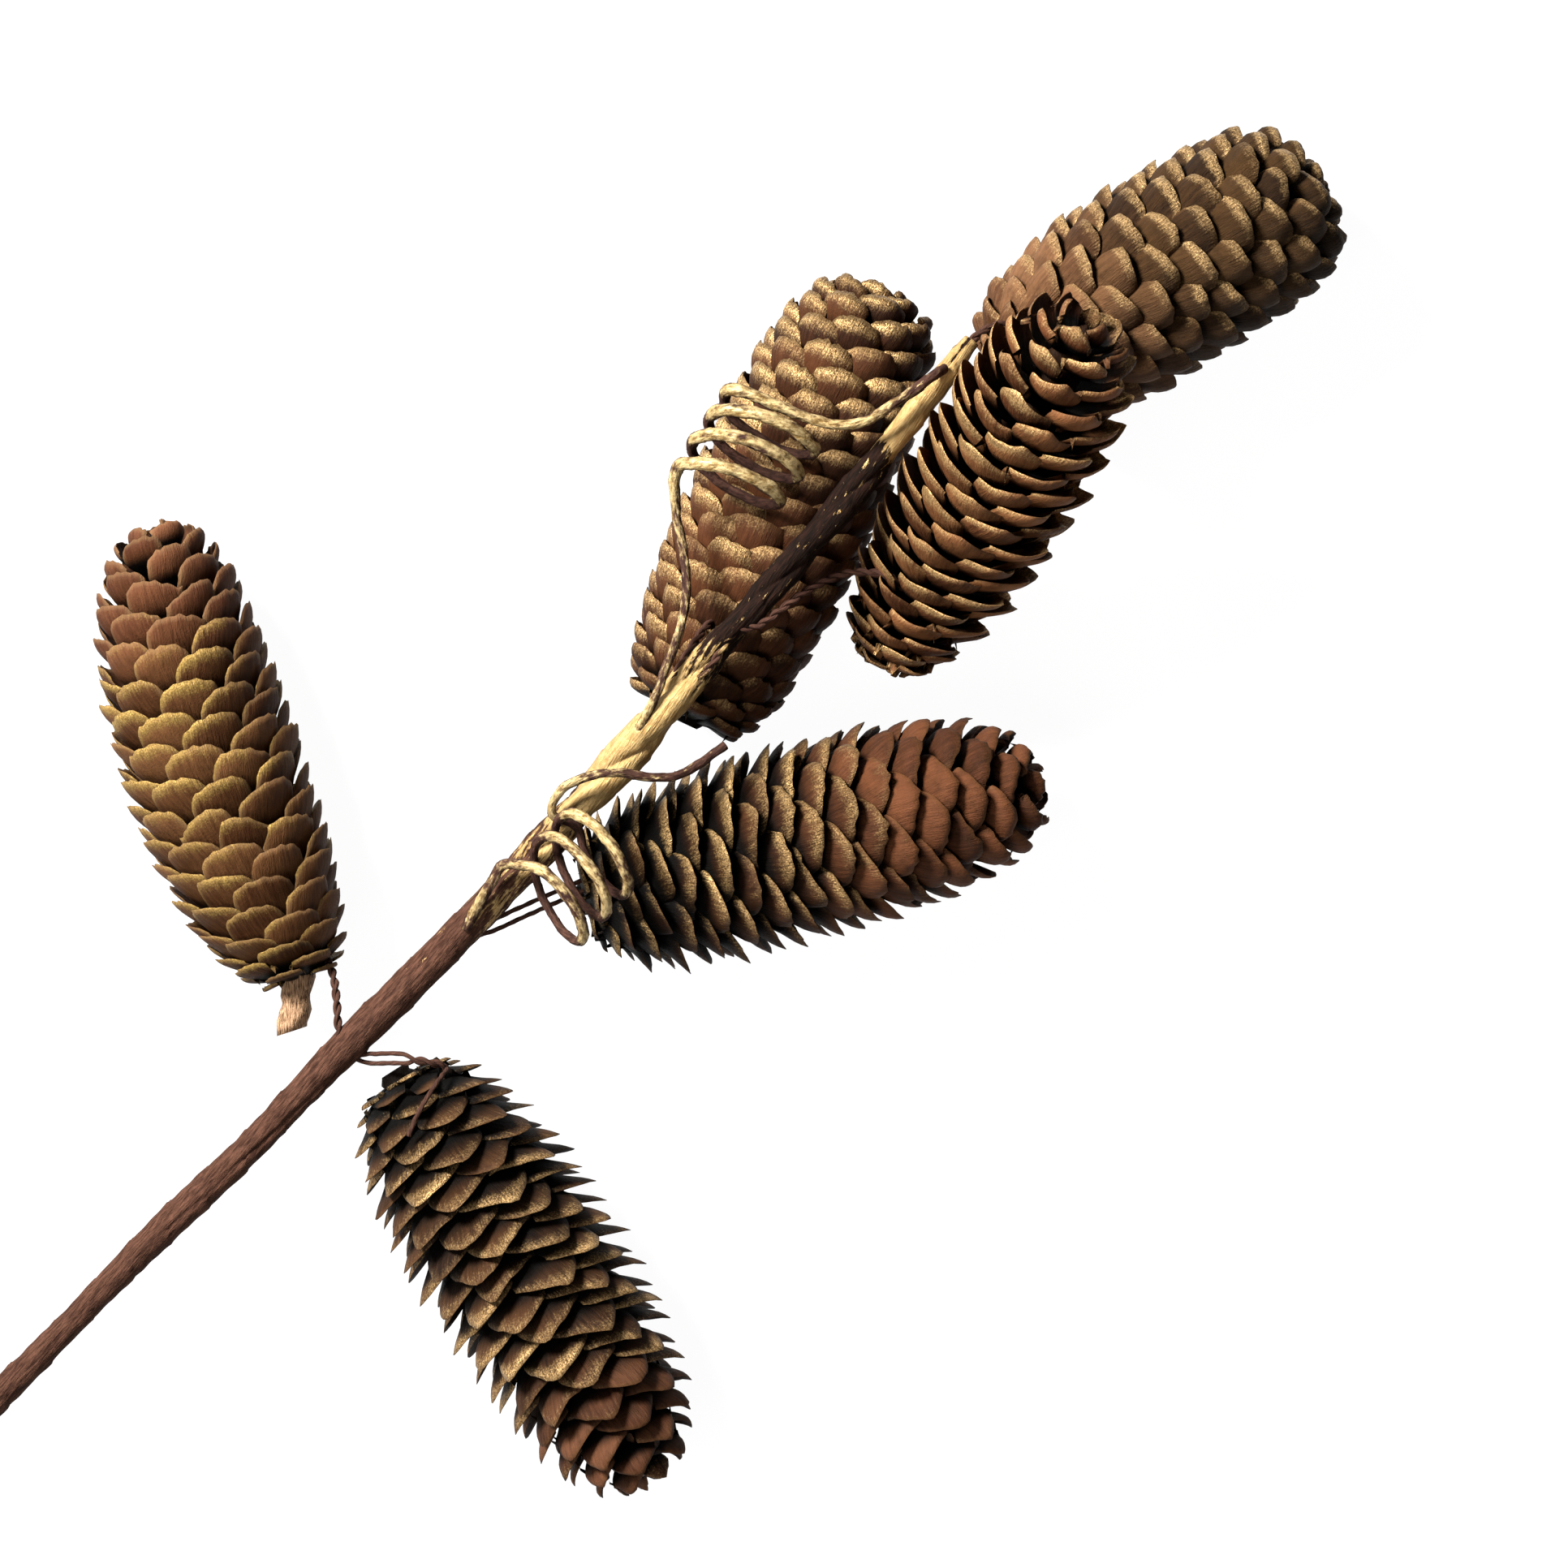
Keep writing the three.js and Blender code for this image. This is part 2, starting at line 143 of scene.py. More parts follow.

# Each cone's centre line and outline: how far it bows and its radius in mm, how open its scales are at
# the base and at the tip, where it is fullest, how blunt its ends are, its stalk, and its spiral's start
# and sense. Then its scales: their spacing, width and thickness in mm, how far their sides bend back, how
# deep and how round their outline is, how wavy they are, and the angle in degrees between the cone's
# surface and a scale's end. Then how many mm of a scale are painted, how far out it is dark with painted
# shade, and the shares of paint and of ruddy wood. Each list runs along the cone as pairs of place and
# value.
CONES = {
    "cone_a": dict(
        base=(-124.4, -49.7, 22.8), tip=(-162.6, 67.5, 22.3), bow=4.5, radius=24.6, open=(0.25, 0.2),
        fullest=0.42, blunt_base=0.38, blunt_tip=2.7, stalk=12.5, stalk_radius=4.8, stalk_lean=0.65,
        turn=20, hand=1, seed=11, slot="cone_olive",
        spacing=0.78, width=17.0, thick=0.4, bulge=0.1, rounded=0.72, power=2.2, wavy=0.35,
        lift=[(0, 28), (1, 20)],
        strip=7.5,
        painted_shade=[(0, 0.5), (1, 0.46)],
        paint=[(0, 0.8), (0.7, 0.85), (0.8, 0.15), (1, 0.05)],
        zone=[(0, 0.4), (0.7, 0.5), (0.8, 1), (1, 1)],
    ),
    "cone_b": dict(
        base=(-98.3, -75.9, 26), tip=(-32.9, -180.0, 24.2), bow=1.3, radius=28.2, open=(1.0, 0.8),
        fullest=0.36, blunt_base=0.38, blunt_tip=2.8, stalk=3, stalk_radius=5, stalk_lean=0,
        turn=75, hand=-1, seed=12, slot="cone_dark",
        spacing=0.73, width=20.0, thick=0.45, bulge=0.16, rounded=1.0, power=1.25, wavy=0.4,
        lift=[(0, 52), (0.5, 58), (1, 40)],
        strip=9.0,
        painted_shade=[(0, 0.66), (0.6, 0.64), (1, 0.52)],
        paint=[(0, 0.45), (0.7, 0.65), (0.8, 0.25), (1, 0.0)],
        zone=[(0, 0), (0.7, 0.1), (0.85, 1), (1, 1)],
    ),
    "cone_c": dict(
        base=(-50.8, -29.3, 25), tip=(67.6, 0.9, 24), bow=0.6, radius=27.7, open=(1.0, 0.4),
        fullest=0.31, blunt_base=0.45, blunt_tip=2.9, stalk=2, stalk_radius=5, stalk_lean=0,
        turn=140, hand=1, seed=13, slot="cone_red",
        spacing=0.74, width=19.5, thick=0.5, bulge=0.2, rounded=0.9, power=1.5, wavy=0.45,
        lift=[(0, 62), (0.35, 60), (0.75, 20), (1, 14)],
        strip=8.0,
        painted_shade=[(0, 0.76), (0.5, 0.68), (0.75, 0.5), (1, 0.42)],
        paint=[(0, 0.6), (0.6, 0.7), (0.75, 0.15), (1, 0.0)],
        zone=[(0, 0), (0.45, 0.25), (0.7, 1), (1, 1)],
    ),
    "cone_d": dict(
        base=(-25.0, 17.4, 24), tip=(26.2, 128.0, 24.3), bow=0.4, radius=25.4, open=(0.35, 0.0),
        fullest=0.4, blunt_base=0.6, blunt_tip=3.6, stalk=2, stalk_radius=5, stalk_lean=0,
        turn=200, hand=-1, seed=14, slot="cone_gilded",
        spacing=0.63, width=16.0, thick=0.75, bulge=0.3, rounded=0.8, power=2.2, wavy=0.6,
        lift=[(0, 26), (0.4, 18), (1, 16)],
        strip=8.0,
        painted_shade=[(0, 0.6), (0.4, 0.52), (1, 0.46)],
        paint=[(0, 0.5), (0.4, 0.75), (1, 1.05)],
        zone=[(0, 0.2), (0.4, 0.4), (1, 0.2)],
    ),
    "cone_e": dict(
        base=(25.9, 33.3, 22), tip=(76.8, 116.7, 80.8), bow=-0.8, radius=24.2, open=(0.9, 0.6),
        fullest=0.45, blunt_base=0.35, blunt_tip=3.0, stalk=2, stalk_radius=5, stalk_lean=0,
        turn=260, hand=1, seed=15, slot="cone_bronze",
        spacing=0.86, width=17.0, thick=0.45, bulge=0.26, rounded=1.0, power=1.25, wavy=0.6,
        lift=[(0, 38), (0.6, 34), (1, 24)],
        strip=11.0,
        painted_shade=[(0, 0.42), (1, 0.38)],
        paint=[(0, 0.6), (0.3, 0.8), (0.8, 0.75), (1, 0.4)],
        zone=[(0, 0.6), (0.25, 0.1), (0.8, 0.2), (1, 1)],
    ),
    "cone_f": dict(
        base=(55.3, 105.0, 26.3), tip=(138.8, 154.7, 25.4), bow=1.0, radius=27.3, open=(0.4, 0.1),
        fullest=0.42, blunt_base=0.45, blunt_tip=3.8, stalk=2, stalk_radius=5, stalk_lean=0,
        turn=320, hand=-1, seed=16, slot="cone_crown",
        spacing=0.66, width=15.0, thick=0.8, bulge=0.36, rounded=0.8, power=2.2, wavy=1.2,
        lift=[(0, 34), (0.4, 26), (1, 24)],
        strip=5.0,
        painted_shade=[(0, 0.4), (1, 0.5)],
        paint=[(0, 0.4), (0.4, 0.7), (1, 0.9)],
        zone=[(0, 1), (0.3, 0.8), (0.5, 0.1), (1, 0)],
    ),
}

# The routes of the twisted wires, from inside the stem's wrap to a cone's core
WIRES = {
    "wire_a": [(-112.4, -67.5, 33), (-113.5, -62, 34.5), (-114.0, -55.5, 33), (-115.4, -48.5, 28),
               (-118.8, -43, 23), (-124, -41, 20.5)],
    "wire_b": [(-111, -69.5, 31.5), (-105.5, -70.0, 33), (-98.5, -69.8, 36), (-91.5, -70.6, 37),
               (-86.5, -72.2, 34), (-87, -78.5, 28)],
    "wire_c": [(-82, -38, 38.5), (-75.5, -36.5, 37.5), (-66, -32.3, 36), (-55, -27.5, 34.5),
               (-46, -24, 33), (-41.5, -25, 28)],
    "wire_d": [(-28.5, 22.5, 50.5), (-27.2, 27.5, 52), (-24.8, 32, 51.5), (-21.8, 36.8, 49.5),
               (-19, 40.4, 45), (-17, 42, 38)],
    "wire_e": [(-23.5, 23.8, 52.8), (-17.5, 31.0, 55.2), (-12, 38.5, 55.5), (-6.5, 39.8, 55.5),
               (1.5, 45.5, 54), (9, 50.5, 50), (17, 53.3, 47.5), (26, 52.5, 46.5), (31, 49, 45)],
    "wire_f": [(45.8, 110.0, 52), (49.5, 113.6, 51), (54, 115.8, 48.5), (58.5, 115.8, 43),
               (60.5, 114, 36)],
}
STRAND_RADIUS = 0.6
STRAND_PITCH = 7.5  # mm along a wire for one turn of its strands
WIRE_STEP = 0.5  # mm between the rings of a wire or a tendril
GILDED = {"wire_e": 18.0}  # mm of gold paint from where a wire starts
# Where a wire's two strands part, as start and end in mm along it, and how far apart
PARTED = {"wire_b": (2.0, 19.0, 0.8), "wire_c": (-30.0, 90.0, 0.75)}
NOT_PARTED = (-2.0, -1.0, 0.0)
# The loose end of wire_b, down over its cone
LOOSE_END = [(-85.6, -72.5, 35.5), (-87.6, -75.2, 41.5), (-90.4, -79.6, 45.2), (-93.0, -84.5, 46.8),
             (-94.8, -89.0, 46.6)]

# Each tendril's riser, its coil from start to end, and its tail. The coil's measures are how far it goes
# across, deep and to the side, its turns, its tilt in the plan and its first angle. The gold and the
# radius are given for the riser, the coil and the tail.
TENDRILS = {
    "tendril_upper": dict(
        riser=[(-37.8, 10.8, 50.5), (-35.9, 14.9, 53), (-32.8, 21.0, 54.5), (-29.8, 28.5, 56),
               (-26.1, 39, 56.5), (-24.5, 48, 56), (-25.2, 58, 55.5), (-27.0, 68, 55.5)],
        start=(-15.8, 72.6, 57), end=(-2.4, 92.0, 58.5), across=13.4, deep=8.2, sway=4.2,
        turns=3, tilt=-25, first=160, gold=(0.52, 0.7, 0.72), radius=(1.2, 1.75, 1.35),
        tail=[(11.0, 90.0, 63), (20, 90.5, 63.5), (29.2, 96.2, 62), (36.5, 101.5, 60), (40.3, 104.3, 55.8)],
    ),
    "tendril_lower": dict(
        riser=[(-80.7, -36.6, 43), (-75.2, -27.1, 47.5), (-70.9, -20.6, 50)],
        start=(-61.2, -31.9, 52), end=(-44.8, -14.7, 57), across=13, deep=8.6, sway=5.4,
        turns=2.8, tilt=-60, first=165, gold=(0.5, 0.65, 0.7), radius=(1.4, 1.5, 1.2),
        tail=[(-58.4, -7.6, 51.2), (-57.8, -4, 53), (-54.7, -0.6, 54.8), (-49.2, 1.9, 56),
              (-41.5, 2.8, 56.3), (-34, 1.8, 55), (-27.3, 1.9, 53), (-21.6, 5, 51.3), (-14.7, 9.8, 50)],
    ),
}
COIL_POINTS_PER_TURN = 12
COIL_DRIFT = 0.85  # below 1 where a coil's first turns stand wider apart than its last ones


def mix(a, b, share):
    return a + (b - a) * share


def smooth(low, high, x):
    t = np.clip((x - low) / (high - low), 0, 1)
    return t * t * (3 - 2 * t)


def unit(v):
    return v / np.linalg.norm(v, axis=-1, keepdims=True)


def to_world(points):
    """Plan points in millimetres as world points in metres."""
    p = np.asarray(points, float) - PLAN_ORIGIN
    c, s = math.cos(-STEM_ANGLE), math.sin(-STEM_ANGLE)
    turned = np.stack([p[..., 0] * c - p[..., 1] * s, p[..., 0] * s + p[..., 1] * c, p[..., 2]], -1)
    return turned * MM


def ripple(seed, *axes, waves=5, low=0.6, high=1.6):
    """A smooth seeded field from a few crossing waves, about -1 to 1."""
    rng = np.random.default_rng(seed)
    total = 0.0
    for _ in range(waves):
        phase = rng.uniform(0, 2 * math.pi)
        for axis in axes:
            phase = phase + axis * rng.uniform(low, high) * rng.choice([-1, 1])
        total = total + np.sin(phase)
    return total / waves * 1.6


# Meshes


def make_piece(name, points, quads, triangles, fields, material, node):
    """A mesh piece from world points, kept inside the CAD box. Each field has a value or vector a point."""
    points = np.clip(points, *cad_box)
    mesh = bpy.data.meshes.new(name)
    mesh.vertices.add(len(points))
    mesh.vertices.foreach_set("co", np.ascontiguousarray(points, np.float32).ravel())
    corners = np.concatenate([np.ravel(quads), np.ravel(triangles)]).astype(np.int32)
    starts = np.concatenate([np.arange(len(quads)) * 4, len(quads) * 4 + np.arange(len(triangles)) * 3])
    mesh.loops.add(len(corners))
    mesh.loops.foreach_set("vertex_index", corners)
    mesh.polygons.add(len(starts))
    mesh.polygons.foreach_set("loop_start", starts.astype(np.int32))
    mesh.update(calc_edges=True)
    mesh.validate()
    mesh.shade_smooth()
    for key, values in fields.items():
        vector = np.ndim(values) == 2
        layer = mesh.attributes.new(key, "FLOAT_VECTOR" if vector else "FLOAT", "POINT")
        flat = np.ascontiguousarray(values, np.float32).ravel()
        layer.data.foreach_set("vector" if vector else "value", flat)
    mesh.materials.append(material)
    piece = bpy.data.objects.new(name, mesh)
    bpy.context.scene.collection.objects.link(piece)
    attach(piece, "root")
    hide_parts(node)
    return piece


def follow(points, step):
    """A smooth route through points, evenly spaced, with any further columns carried along."""
    p = np.asarray(points, float)
    xyz = p[:, :3]
    ends = np.vstack([2 * xyz[0] - xyz[1], xyz, 2 * xyz[-1] - xyz[-2]])
    gaps = np.linalg.norm(np.diff(ends, axis=0), axis=1) ** 0.5
    dense = []
    rest = []
    for i in range(len(xyz) - 1):
        x0, x1, x2, x3 = ends[i:i + 4]
        d0, d1, d2 = gaps[i:i + 3]
        t1 = ((x1 - x0) / d0 - (x2 - x0) / (d0 + d1) + (x2 - x1) / d1) * d1
        t2 = ((x2 - x1) / d1 - (x3 - x1) / (d1 + d2) + (x3 - x2) / d2) * d1
        for w in np.linspace(0, 1, 24, endpoint=i == len(xyz) - 2):
            dense.append(x1 + t1 * w + (3 * (x2 - x1) - 2 * t1 - t2) * w * w
                         + (2 * (x1 - x2) + t1 + t2) * w ** 3)
            rest.append(mix(p[i, 3:], p[i + 1, 3:], w))
    dense = np.hstack([np.array(dense), np.array(rest)])
    far = np.concatenate([[0], np.cumsum(np.linalg.norm(np.diff(dense[:, :3], axis=0), axis=1))])
    places = np.linspace(0, far[-1], max(2, int(far[-1] / step)))
    return np.stack([np.interp(places, far, dense[:, k]) for k in range(dense.shape[1])], 1), places


def frames_along(centres):
    """Two steady cross directions at each point of a route."""
    ahead = unit(np.gradient(centres, axis=0))
    side = np.cross(UP, ahead[0])
    side = side / np.linalg.norm(side)
    sides = []
    for a in ahead:
        side = side - a * np.dot(side, a)
        side = side / np.linalg.norm(side)
        sides.append(side)
    sides = np.array(sides)
    return sides, np.cross(ahead, sides)


def ring_faces(rings, around, first=0):
    """The quads of a tube of rings, and the triangles that close its two ends."""
    i, j = np.meshgrid(np.arange(rings - 1), np.arange(around), indexing="ij")
    k = (j + 1) % around
    quads = np.stack([i * around + j, i * around + k, (i + 1) * around + k, (i + 1) * around + j], -1)
    quads = quads.reshape(-1, 4) + first
    j = np.arange(around)
    k = (j + 1) % around
    start, end = rings * around + first, rings * around + 1 + first
    last = (rings - 1) * around + first
    caps = np.concatenate([
        np.stack([np.full(around, start), k + first, j + first], 1),
        np.stack([np.full(around, end), j + last, k + last], 1),
    ])
    return quads, caps


def tube(centres, sides, overs, radii, first=0):
    """Points and faces of a tube with a radius for each ring and angle, and how far each faces up."""
    around = radii.shape[1]
    angle = np.arange(around) / around * 2 * math.pi
    ring = (np.cos(angle)[None, :, None] * sides[:, None, :]
            + np.sin(angle)[None, :, None] * overs[:, None, :])
    points = centres[:, None, :] + ring * radii[..., None]
    points = np.vstack([points.reshape(-1, 3), centres[:1], centres[-1:]])
    quads, caps = ring_faces(len(centres), around, first)
    return points, quads, caps, ring[..., 2]


def capped(values):
    """A field over rings with its first and last value repeated for the two end points."""
    flat = values.reshape(-1, *values.shape[2:])
    return np.concatenate([flat, flat[:1], flat[-1:]])


# Materials


def srgb(text):
    """A colour written as six hexadecimal digits, in the shader's linear numbers."""
    values = [int(text[i:i + 2], 16) / 255 for i in (0, 2, 4)]
    return tuple(v / 12.92 if v <= 0.04045 else ((v + 0.055) / 1.055) ** 2.4 for v in values) + (1.0,)


SPECULAR = 0.06  # dry wood and paper, far duller than plastic


class Shader:
    """A node material with short calls for the nodes used here."""

    def __init__(self, name):
        self.material = bpy.data.materials.new(name)
        self.material.use_nodes = True
        self.tree = self.material.node_tree
        self.surface = self.tree.nodes["Principled BSDF"]

    def put(self, socket, value):
        if isinstance(value, bpy.types.NodeSocket):
            self.tree.links.new(value, socket)
        else:
            socket.default_value = value

    def add(self, kind, inputs, out=0, **settings):
        node = self.tree.nodes.new(kind)
        for key, value in settings.items():
            setattr(node, key, value)
        for key, value in inputs.items():
            self.put(node.inputs[key], value)
        return node.outputs[out]

    def field(self, name, out="Fac"):
        return self.add("ShaderNodeAttribute", {}, out, attribute_name=name)

    def math(self, operation, a, b, c=0.0):
        return self.add("ShaderNodeMath", {0: a, 1: b, 2: c}, operation=operation)

    def noise(self, vector, scale, detail, rough, stretch=(1, 1, 1)):
        moved = self.add("ShaderNodeMapping", {"Vector": vector, "Scale": stretch})
        inputs = {"Vector": moved, "Scale": scale, "Detail": detail, "Roughness": rough}
        return self.add("ShaderNodeTexNoise", inputs)

    def blend(self, share, a, b):
        """Colour a where share is 0 and b where it is 1."""
        return self.add("ShaderNodeMix", {0: share, 6: a, 7: b}, 2, data_type="RGBA")

    def ramp(self, value, low, high):
        """A smooth rise from 0 to 1 as the value goes from low to high."""
        return self.add("ShaderNodeMapRange", {0: value, 1: low, 2: high, 3: 0.0, 4: 1.0},
                        interpolation_type="SMOOTHSTEP")

    def finish(self, colour, rough, metal, height, depth):
        """The material, with its bumps as deep as depth in metres."""
        self.surface.inputs["Specular IOR Level"].default_value = SPECULAR
        self.put(self.surface.inputs["Base Color"], colour)
        self.put(self.surface.inputs["Roughness"], rough)
        self.put(self.surface.inputs["Metallic"], metal)
        bump = self.add("ShaderNodeBump", {"Height": height, "Distance": depth, "Strength": 1.0})
        self.put(self.surface.inputs["Normal"], bump)
        return self.material


def cone_material(name, look):
    """Woody scales: streaks along them, a thin pale margin, painted shade in their hollows, and metallic
    paint on what stands out.
    """
    s = Shader(name)
    flow = s.field("flow", "Vector")
    place = s.add("ShaderNodeNewGeometry", {}, "Position")
    own = s.field("own")
    streaks = s.noise(flow, 1.0, 4.0, 0.6, (1.3, 0.14, 1.0))
    fine = s.noise(flow, 1.0, 3.0, 0.6, (4.5, 0.4, 1.0))
    blotch = s.noise(place, 170.0, 3.0, 0.6)
    speck = s.noise(place, 2200.0, 2.0, 0.6)
    tone = s.math("MULTIPLY_ADD", own, 0.45, s.math("MULTIPLY", streaks, 0.85))
    brown = s.blend(s.ramp(tone, 0.25, 1.05), srgb(look["dark"]), srgb(look["light"]))
    ruddy = s.blend(s.ramp(tone, 0.25, 1.05), srgb(look["dark_ruddy"]), srgb(look["light_ruddy"]))
    wood = s.blend(s.field("zone"), brown, ruddy)
    wood = s.blend(s.math("MULTIPLY", s.ramp(blotch, 0.45, 0.75), 0.45), wood, srgb(look["stain"]))
    wood = s.blend(s.math("MULTIPLY", s.field("rim"), look["margin"]), wood, srgb(look["edge"]))
    # Painted shade: the deep colour wherever the painted light is low
    wood = s.blend(s.field("painted_light"), srgb(look["deep"]), wood)
    stub = s.blend(s.ramp(fine, 0.3, 0.7), srgb(look["stain"]), srgb(look["stub"]))
    wood = s.blend(s.field("stub"), wood, stub)
    brush = s.math("MULTIPLY_ADD", streaks, 0.35, s.math("MULTIPLY_ADD", fine, 0.3, s.field("gold")))
    patch = s.math("MULTIPLY_ADD", speck, 0.5, s.math("MULTIPLY_ADD", blotch, 0.55, brush))
    paint = s.math("MULTIPLY", s.ramp(patch, look["bare"], look["bare"] + look["soft"]), look["cover"])
    glint = s.math("MULTIPLY_ADD", fine, 0.4, s.math("MULTIPLY", speck, 0.6))
    gold = s.blend(s.ramp(glint, 0.35, 0.7), srgb(look["gold"]), srgb(look["shine"]))
    colour = s.blend(paint, wood, gold)
    rough = s.math("SUBTRACT", look["rough"], s.math("MULTIPLY", paint, look["rough"] - look["gloss"]))
    metal = s.math("MULTIPLY", paint, look["metal"])
    grain = s.math("MULTIPLY_ADD", fine, 0.5, s.math("MULTIPLY", speck, 0.25))
    height = s.math("MULTIPLY_ADD", streaks, 0.5, grain)
    return s.finish(colour, rough, metal, height, look["relief"])


def paper_material(name, look):
    """Crepe paper tape: fine ridges and creases, darker where worn, with metallic paint along it."""
    s = Shader(name)
    flow = s.field("flow", "Vector")
    place = s.add("ShaderNodeNewGeometry", {}, "Position")
    crepe = s.noise(flow, 1.0, 3.0, 0.65, look["crepe"])
    brush = s.noise(flow, 1.0, 4.0, 0.65, look["brush"])
    crack = s.noise(flow, 1.0, 3.0, 0.6, look["crack"])
    cloud = s.noise(place, 90.0, 4.0, 0.6)
    fleck = s.noise(place, 520.0, 3.0, 0.7)
    paper = s.blend(s.ramp(crepe, 0.3, 0.75), srgb(look["dark"]), srgb(look["light"]))
    paper = s.blend(s.math("MULTIPLY", s.ramp(cloud, 0.45, 0.8), 0.5), paper, srgb(look["stain"]))
    worn = s.blend(s.ramp(crepe, 0.35, 0.8), srgb(look["worn_dark"]), srgb(look["worn_light"]))
    paper = s.blend(s.field("worn"), paper, worn)
    spots = s.noise(flow, 1.0, 5.0, 0.75, look["spots"])
    spots = s.math("MULTIPLY", s.ramp(spots, 0.61, 0.67), s.ramp(s.field("gold"), 0.03, 0.08))
    share = s.math("ADD", s.field("gold"), s.math("MULTIPLY_ADD", crack, 0.55, brush))
    share = s.math("MULTIPLY_ADD", fleck, 0.36, s.math("MULTIPLY_ADD", spots, 0.35, share))
    paint = s.ramp(share, look["bare"], look["bare"] + look["soft"])
    glint = s.math("MULTIPLY_ADD", crepe, 0.6, s.math("MULTIPLY", fleck, 0.4))
    gold = s.blend(s.ramp(glint, 0.35, 0.65), srgb(look["gold"]), srgb(look["shine"]))
    colour = s.blend(paint, paper, gold)
    rough = s.math("SUBTRACT", look["rough"], s.math("MULTIPLY", paint, look["rough"] - look["gloss"]))
    metal = s.math("MULTIPLY", paint, look["metal"])
    creases = s.math("MULTIPLY_ADD", crack, 0.4, s.math("MULTIPLY", fleck, 0.3))
    height = s.math("MULTIPLY_ADD", crepe, 0.7, creases)
    return s.finish(colour, rough, metal, height, look["relief"])


# Looks: wood or paper from dark to light, its stains and its pale margin, then the paint from dull to
# shiny, how much stays bare and how softly the paint ends. Rough is the bare surface's roughness and gloss
# the paint's, metal is how metallic the paint is, and relief is the bumps' depth in metres. A cone's ruddy
# wood is mixed in by its zone. Crepe, brush, crack and spots are how the paper's noises stretch.
CONE_LOOK = dict(
    dark="160903", light="3e2513", dark_ruddy="2b1509", light_ruddy="58321d",
    # deep is the colour of the painted shade in a cone's hollows
    stain="180e04", deep="030201", edge="5c4027", margin=0.35, stub="b18c6b",
    gold="533b20", shine="b69565", bare=1.1, soft=0.75, cover=0.95, rough=0.6, gloss=0.36, metal=0.85,
    relief=0.0006,
)
CONE_LOOKS = {
    "cone_a": dict(CONE_LOOK, dark="301b0a", light="5c3f22", stain="36200c", gold="6c5529",
                   shine="9f8348", dark_ruddy="351a0d", light_ruddy="5d3924", edge="785f40",
                   cover=0.85, gloss=0.45, metal=0.6),
    "cone_b": dict(CONE_LOOK, dark="110702", light="3a2413", light_ruddy="553522"),
    "cone_c": dict(CONE_LOOK, dark="140702", light="361f0e", light_ruddy="56321d",
                   gold="453219", shine="a5875a"),
    "cone_d": dict(CONE_LOOK, dark="160904", light="3b2211"),
    "cone_e": dict(CONE_LOOK, dark="391e10", light="7a5030", gold="785935", shine="d6af77"),
    "cone_f": dict(CONE_LOOK, dark="140a04", light="35230f", dark_ruddy="3f2615", light_ruddy="735035",
                   gold="6b5030", shine="d8b27c", relief=0.001),
}
STEM_LOOK = dict(
    dark="27160f", light="53372a", stain="301d14", worn_dark="0b0502", worn_light="24130c",
    crepe=(1.8, 0.25, 1.8), brush=(0.42, 0.05, 0.42), crack=(1.5, 0.22, 1.5), spots=(0.45, 0.16, 0.45),
    gold="896a3e", shine="a58a5c", bare=1.27, soft=0.14, rough=0.8, gloss=0.52, metal=0.35, relief=0.0006,
)
TENDRIL_LOOK = dict(STEM_LOOK, dark="271814", light="493127", gold="70552c", shine="b7a173", soft=0.3,
                    crepe=(1.2, 0.4, 1.2), brush=(0.35, 0.12, 0.35), crack=(1.0, 0.4, 1.0))
WIRE_LOOK = dict(STEM_LOOK, dark="2a1a14", light="53382d", stain="37221b")


# The cones


def cone_radius(cone, share):
    """A cone's radius at a share of its length, full at one place and rounded at both ends."""
    fullest, blunt = cone["fullest"], cone["blunt_tip"]
    down = 1 - np.clip(share, 0, fullest) / fullest
    rising = mix(cone["blunt_base"], 1, (1 - down ** 1.9) ** (1 / 1.9))
    up = np.clip((share - fullest) / (1 - fullest), 0, 1)
    falling = (1 - up ** blunt) ** (1 / blunt)
    return cone["radius"] * np.where(share < fullest, rising, falling)


def cone_frame(cone):
    """A function from along, radius, angle and a step sideways to plan points, and the cone's length."""
    start = np.array(cone["base"], float)
    axis = np.array(cone["tip"], float) - start
    length = np.linalg.norm(axis)
    axis = axis / length
    side = unit(np.cross(UP, axis))
    over = np.cross(axis, side)

    def at(along, radius, angle, aside=0.0):
        share = along / length
        bend = cone["bow"] * 4 * share * (1 - share) - cone["stalk_lean"] * np.minimum(along, 0)
        x = bend + radius * np.cos(angle) - aside * np.sin(angle)
        y = radius * np.sin(angle) + aside * np.cos(angle)
        return start + along[..., None] * axis + x[..., None] * side + y[..., None] * over

    return at, length


def along_cone(cone, key, share):
    """One of a cone's lists of place and value, read at shares of its length."""
    return np.interp(share, *zip(*cone[key]))


def scale_places(cone, length):
    """Where along a cone its scales end, evenly over its surface and a little closer at its two ends."""
    share = np.linspace(0, 1, 3001)
    radius = cone_radius(cone, share)
    step = np.hypot(np.diff(share) * length, np.diff(radius))
    weight = (0.5 * (radius[1:] + radius[:-1]) / cone["radius"]) ** 0.6
    total = np.concatenate([[0], np.cumsum(step * weight)]) / cone["spacing"]
    return np.interp(np.arange(int(total[-1])) + 0.6, total, share)


